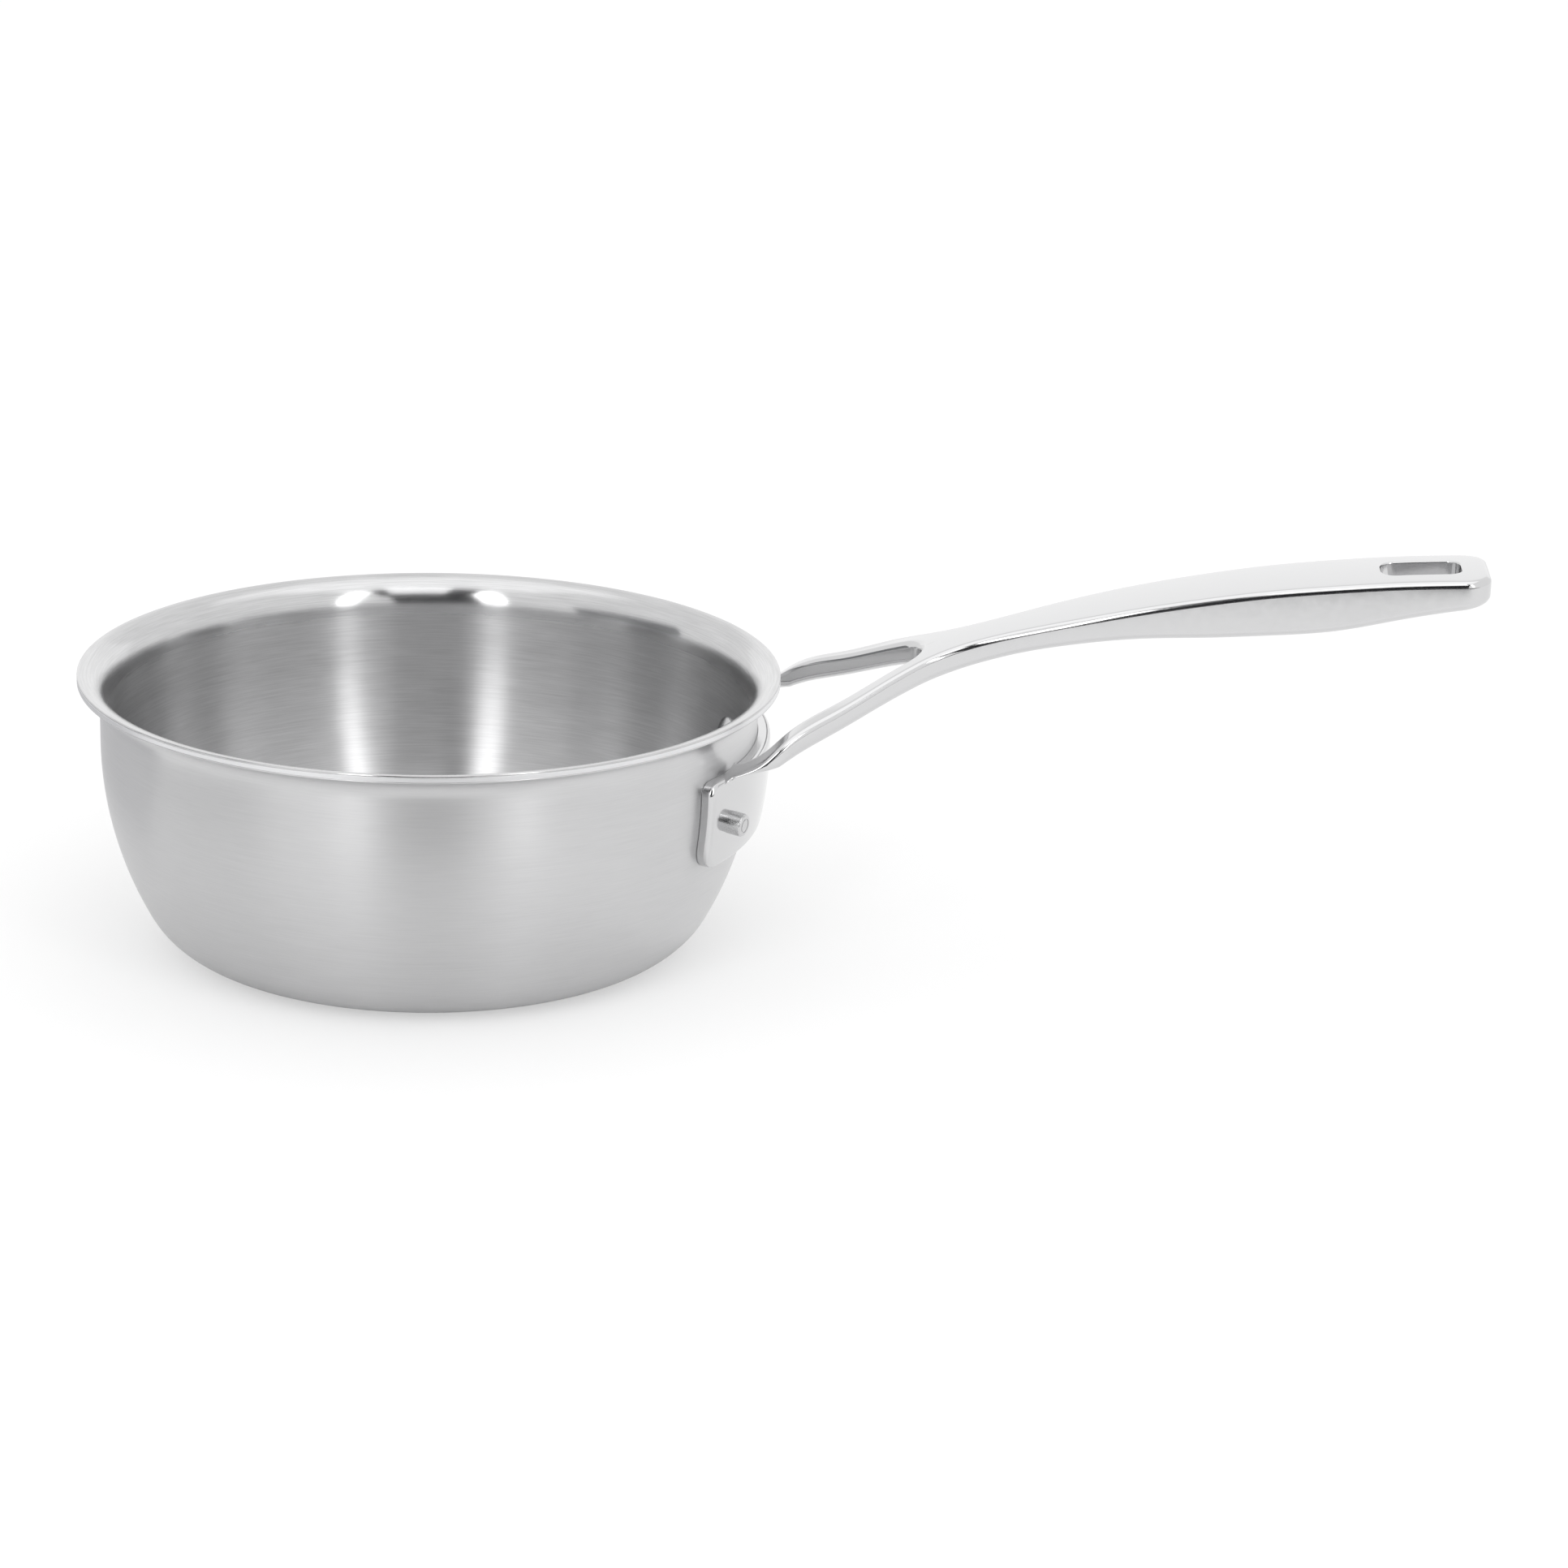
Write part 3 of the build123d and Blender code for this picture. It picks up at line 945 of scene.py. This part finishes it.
# %% [markdown]
# Materials
#
# All the steel is the same metal with different finishes. The bowl is turned against an
# abrasive belt, so its scratches run round it and its reflections smear up and down. The casting
# is polished, and a cast surface keeps faint waves. Every finish is a formula of the place on
# the object, so no picture is needed.

# %% A small language for shader formulas


class Field:
    """A value that varies over a surface. A sum or product of fields adds a Math node."""

    def __init__(self, paint, socket):
        self.paint, self.socket = paint, socket

    def __add__(self, other):
        return self.paint.math("ADD", self, other)

    def __mul__(self, other):
        return self.paint.math("MULTIPLY", self, other)

    def __pow__(self, other):
        return self.paint.math("POWER", self, other)

    __radd__ = __add__
    __rmul__ = __mul__


class Paint:
    """One material and the tools that fill its node tree."""

    def __init__(self, name, **constants):
        self.material = bpy.data.materials.new(name)
        self.material.use_nodes = True
        self.tree = self.material.node_tree
        self.shader = self.tree.nodes["Principled BSDF"]
        for socket, value in constants.items():
            self.shader.inputs[socket.replace("_", " ")].default_value = value

    def node(self, kind, settings=None, inputs=None, output=0):
        """Adds a node of this type, with its settings first and then its inputs."""
        node = self.tree.nodes.new(kind)
        for setting, value in (settings or {}).items():
            setattr(node, setting, value)
        for socket, value in (inputs or {}).items():
            self.feed(node.inputs[socket], value)
        return Field(self, node.outputs[output])

    def feed(self, socket, value):
        if isinstance(value, Field):
            self.tree.links.new(value.socket, socket)
        else:
            socket.default_value = value

    def math(self, operation, *values):
        return self.node("ShaderNodeMath", {"operation": operation}, dict(enumerate(values)))

    def place(self):
        """The three coordinates on the object, in millimetres."""
        spot = self.node("ShaderNodeTexCoord", output="Object")
        axes = self.tree.nodes.new("ShaderNodeSeparateXYZ")
        self.feed(axes.inputs[0], spot)
        return [Field(self, axes.outputs[axis]) * (1 / MM) for axis in range(3)]

    def noise(self, x, y, z, detail=2.0):
        """A smooth random field round 0.5, with one lump for each unit of the coordinates."""
        spot = self.node("ShaderNodeCombineXYZ", inputs={0: x, 1: y, 2: z})
        return self.node("ShaderNodeTexNoise", inputs={"Vector": spot, "Scale": 1.0, "Detail": detail})

    def ramp(self, value, low, high):
        """From 0 at one value to 1 at another, smoothly."""
        settings = {"interpolation_type": "SMOOTHSTEP"}
        return self.node("ShaderNodeMapRange", settings, {"Value": value, "From Min": low, "From Max": high})

    def bump(self, height, distance):
        """Leads the shader's normal by a height field that is this many millimetres deep."""
        inputs = {"Height": height, "Distance": distance * MM, "Strength": 1.0}
        self.feed(self.shader.inputs["Normal"], self.node("ShaderNodeBump", inputs=inputs))

    def tint(self, colour, share):
        """Sets the base colour, lighter or darker by a field round 1."""
        scaled = self.node("ShaderNodeVectorMath", {"operation": "SCALE"}, {0: colour, "Scale": share})
        self.set("Base Color", scaled)

    def set(self, socket, value):
        self.feed(self.shader.inputs[socket], value)


def plate(piece, paint):
    """Gives the piece its material."""
    piece.data.materials.clear()
    piece.data.materials.append(paint.material)


# %% Finishes
DARKER_STEEL = (0.6, 0.6, 0.605)
LIGHTER_STEEL = (0.65, 0.65, 0.655)
ALUMINIUM = (0.78, 0.78, 0.79)
NOISE_MEAN = 0.5
BRUSH_LINES = 2.2
BRUSH_ARC = 0.07
BRUSH_DETAIL = 3.0
BROAD_LINES = BRUSH_LINES / 12
BROAD_SHARE = 0.4
SCRATCH_DEPTH = 0.0012
# The wall's finish gives way to the lip's between these two heights
LIP_FINISH = (FLARE_START - FLARE_RADIUS, FLARE_START + FLARE_RADIUS * 0.8)
HAZE_FINENESS = 4
HAZE_SHARE = 0.5
# In whole turns, as the shader counts them. It makes reflections smear up and down the wall
ACROSS_THE_BRUSHING = 0.25


def brushed(name, colour, rough, lip_rough, swing, anisotropy, streak):
    """Steel with fine scratches round the bowl, which also darken and lighten it a little."""
    constants = {"Anisotropic": anisotropy, "Anisotropic_Rotation": ACROSS_THE_BRUSHING}
    paint = Paint(name, Metallic=1.0, **constants)
    x, y, z = paint.place()
    reach = (x * x + y * y) ** 0.5 + z
    fine = paint.noise(x * BRUSH_ARC, y * BRUSH_ARC, reach * BRUSH_LINES, BRUSH_DETAIL)
    broad = paint.noise(x * BRUSH_ARC, y * BRUSH_ARC, reach * BROAD_LINES)
    mean = NOISE_MEAN * (1 + BROAD_SHARE)
    paint.tint(colour, (fine + broad * BROAD_SHARE) * streak + (1 - mean * streak))
    lip_change = paint.ramp(z, *LIP_FINISH) * (lip_rough - rough)
    paint.set("Roughness", fine * swing + broad * swing + lip_change + (rough - swing))
    paint.bump(fine, SCRATCH_DEPTH)
    return paint


inner_steel = brushed(
    "inner_steel", DARKER_STEEL, rough=0.33, lip_rough=0.17, swing=0.04, anisotropy=0.98, streak=0.35
)
outer_steel = brushed(
    "outer_steel", LIGHTER_STEEL, rough=0.40, lip_rough=0.30, swing=0.03, anisotropy=0.85, streak=0.12
)
core_metal = brushed(
    "core_aluminium", ALUMINIUM, rough=0.35, lip_rough=0.35, swing=0.03, anisotropy=0.3, streak=0.1
)


def polished(name, colour, rough, wave_size, wave_depth):
    """Polished steel: a clear reflection with faint waves and a little haze."""
    paint = Paint(name, Base_Color=colour + (1,), Metallic=1.0)
    place = paint.place()
    waves = paint.noise(*[axis * (1 / wave_size) for axis in place])
    haze = paint.noise(*[axis * (HAZE_FINENESS / wave_size) for axis in place])
    least = rough * (1 - HAZE_SHARE * NOISE_MEAN)
    paint.set("Roughness", haze * (rough * HAZE_SHARE) + least)
    paint.bump(waves, wave_depth)
    return paint


casting_steel = polished("polished_casting", LIGHTER_STEEL, rough=0.12, wave_size=9.0, wave_depth=0.02)
rivet_steel = polished("rivet_steel", DARKER_STEEL, rough=0.26, wave_size=1.5, wave_depth=0.01)

for piece, paint, slot in (
    (outer_sheet, outer_steel, "outer_steel"),
    (core_sheet, core_metal, "core_aluminium"),
    (inner_sheet, inner_steel, "inner_steel"),
    (blank, casting_steel, "polished_casting"),
    (rivet_left, rivet_steel, "rivet_steel"),
    (rivet_right, rivet_steel, "rivet_steel"),
):
    plate(piece, paint)
print("materials:", ", ".join(sorted(material.name for material in bpy.data.materials)))

# %% [markdown]
# The studio
#
# Metal shows its surroundings, so the studio is part of the look: a white sheet under the pan, a
# bright room, dark cards that draw the dark lines on the casting, and grey cards for the soft
# changes of tone. Two of the grey cards lie on the floor round the bowl's base and under the
# handle as painted shade, where the floor lies in the pan's shadow; only reflections show them.
# Two tall soft lights beside the camera draw the bright strips inside the bowl, and three broad
# lights stand behind the pan, over its front and above it.

# %% Floor and cards
FLOOR_SIDE = 12000.0
FLOOR_DROP = 0.15
FLOOR_GLOW = 0.5
AIM = Vector((60.0, 0.0, 60.0))
RAY_KINDS = ("Is Camera Ray", "Is Glossy Ray", "Is Transmission Ray")
WHITE = (1, 1, 1)
FLOOR_WHITE = (0.9, 0.9, 0.9)
# The grey of the two floor patches that are painted shade under the pan and the handle
PAINTED_FLOOR_SHADE_GREY = (0.82, 0.82, 0.82)
GREY = (0.5, 0.5, 0.51)
DARK_GREY = (0.2, 0.205, 0.21)
BLACK = (0.02, 0.02, 0.022)


def matt(name, shade):
    """A paint without any gloss."""
    return Paint(name, Base_Color=shade + (1,), Roughness=1.0, Specular_IOR_Level=0.0)


def seen_by_eye_or_metal(paint):
    """1 for a ray from the camera, from a mirror or through glass, and 0 for scattered light."""
    rays = [paint.node("ShaderNodeLightPath", output=name) for name in RAY_KINDS]
    return paint.math("MINIMUM", rays[0] + rays[1] + rays[2], 1.0)


def add_floor():
    """A wide white sheet that glows a little, to the eye and in reflections only."""
    bpy.ops.mesh.primitive_plane_add(size=FLOOR_SIDE * MM, location=(0, 0, -FLOOR_DROP * MM))
    floor = bpy.context.object
    floor.name = "floor"
    paint = matt("white_sheet", FLOOR_WHITE)
    glow = paint.node("ShaderNodeEmission", inputs={"Color": WHITE + (1,), "Strength": 1.0})
    plain = Field(paint, paint.shader.outputs[0])
    share = seen_by_eye_or_metal(paint) * FLOOR_GLOW
    mixed = paint.node("ShaderNodeMixShader", inputs={0: share, 1: plain, 2: glow})
    paint.feed(paint.tree.nodes["Material Output"].inputs["Surface"], mixed)
    floor.data.materials.append(paint.material)
    return floor


def facing(place):
    """The turn that points a card or lamp at this place back at the pan."""
    return (AIM - Vector(place)).to_track_quat("-Z", "Y").to_euler()


def add_card(name, place, width, height, shade, flat=False):
    """A large matt card that only reflections show, set to face the pan or laid flat."""
    turn = (0, 0, 0) if flat else facing(place)
    bpy.ops.mesh.primitive_plane_add(size=MM, location=metres(place), rotation=turn)
    card = bpy.context.object
    card.name = name
    card.scale = (width, height, 1)
    bpy.ops.object.transform_apply(location=False, rotation=False, scale=True)
    card.data.materials.append(matt(name + "_board", shade).material)
    card.visible_camera = card.visible_diffuse = card.visible_shadow = False
    return card


def add_lamp(name, place, width, height, power):
    """A soft rectangular light that faces the pan. Its power is in watts."""
    bpy.ops.object.light_add(type="AREA", location=metres(place), rotation=facing(place))
    lamp = bpy.context.object
    lamp.name = name
    lamp.data.shape = "RECTANGLE"
    lamp.data.size, lamp.data.size_y = width * MM, height * MM
    lamp.data.energy = power


# %% What stands in the studio: each thing's place, width and height, and its shade or power
floor = add_floor()
cards = [
    add_card("camera_side_card", (60, -2700, 1100), 1900, 2300, BLACK),
    add_card("front_top_card", (250, -1830, 2170), 1520, 1290, BLACK),
    add_card("table_card", (750, -1510, 2), 1800, 2000, BLACK, flat=True),
    # A grey patch on the floor under the handle: painted shadow in place of the handle's shadow there, seen
    # only in the casting's reflection
    add_card("painted_shade_under_handle_card", (265, -95, 1), 190, 110, PAINTED_FLOOR_SHADE_GREY, flat=True),
    add_card("left_card", (-1600, -450, 380), 1500, 800, DARK_GREY),
    add_card("left_table_card", (-420, 260, 1), 480, 560, GREY, flat=True),
    # A grey patch on the floor round the bowl's base: painted shadow in place of the pan's contact shadow,
    # seen only in the lower wall's reflection
    add_card("painted_shade_under_pan_card", (-110, 0, -0.1), 400, 560, PAINTED_FLOOR_SHADE_GREY, flat=True),
]
for lamp in (
    ("left_soft_light", (-728, -2294, 1500), 450, 2200, 12),
    ("right_soft_light", (1532, -1975, 1500), 340, 2200, 9),
    ("back_soft_light", (150, 2300, 700), 3200, 900, 1.4),
    ("front_top_light", (280, -1320, 2060), 720, 1100, 3.4),
    ("top_soft_light", (60, 300, 2600), 2400, 2400, 7),
):
    add_lamp(*lamp)

# %% World
world = bpy.data.worlds.new("studio")
bpy.context.scene.world = world
world.use_nodes = True
background = world.node_tree.nodes["Background"]
background.inputs["Color"].default_value = WHITE + (1,)
background.inputs["Strength"].default_value = 1.0
bpy.context.scene.view_settings.view_transform = "Standard"

# %% Camera
CAMERA_PLACE = (164.76, -1532.28, 554.1)
CAMERA_TARGET = (111.11, 3.88, 52.51)
CAMERA_ROLL = math.radians(1.331)
LENS = 118.15
SENSOR_WIDTH = 36
bpy.ops.object.camera_add(location=metres(CAMERA_PLACE))
camera = bpy.context.object
camera.data.lens = LENS
camera.data.sensor_width = SENSOR_WIDTH
look = Vector(CAMERA_TARGET) - Vector(CAMERA_PLACE)
camera.rotation_mode = "QUATERNION"
turn = look.to_track_quat("-Z", "Y").to_matrix().to_4x4() @ Matrix.Rotation(CAMERA_ROLL, 4, "Z")
camera.rotation_quaternion = turn.to_quaternion()
bpy.context.scene.camera = camera
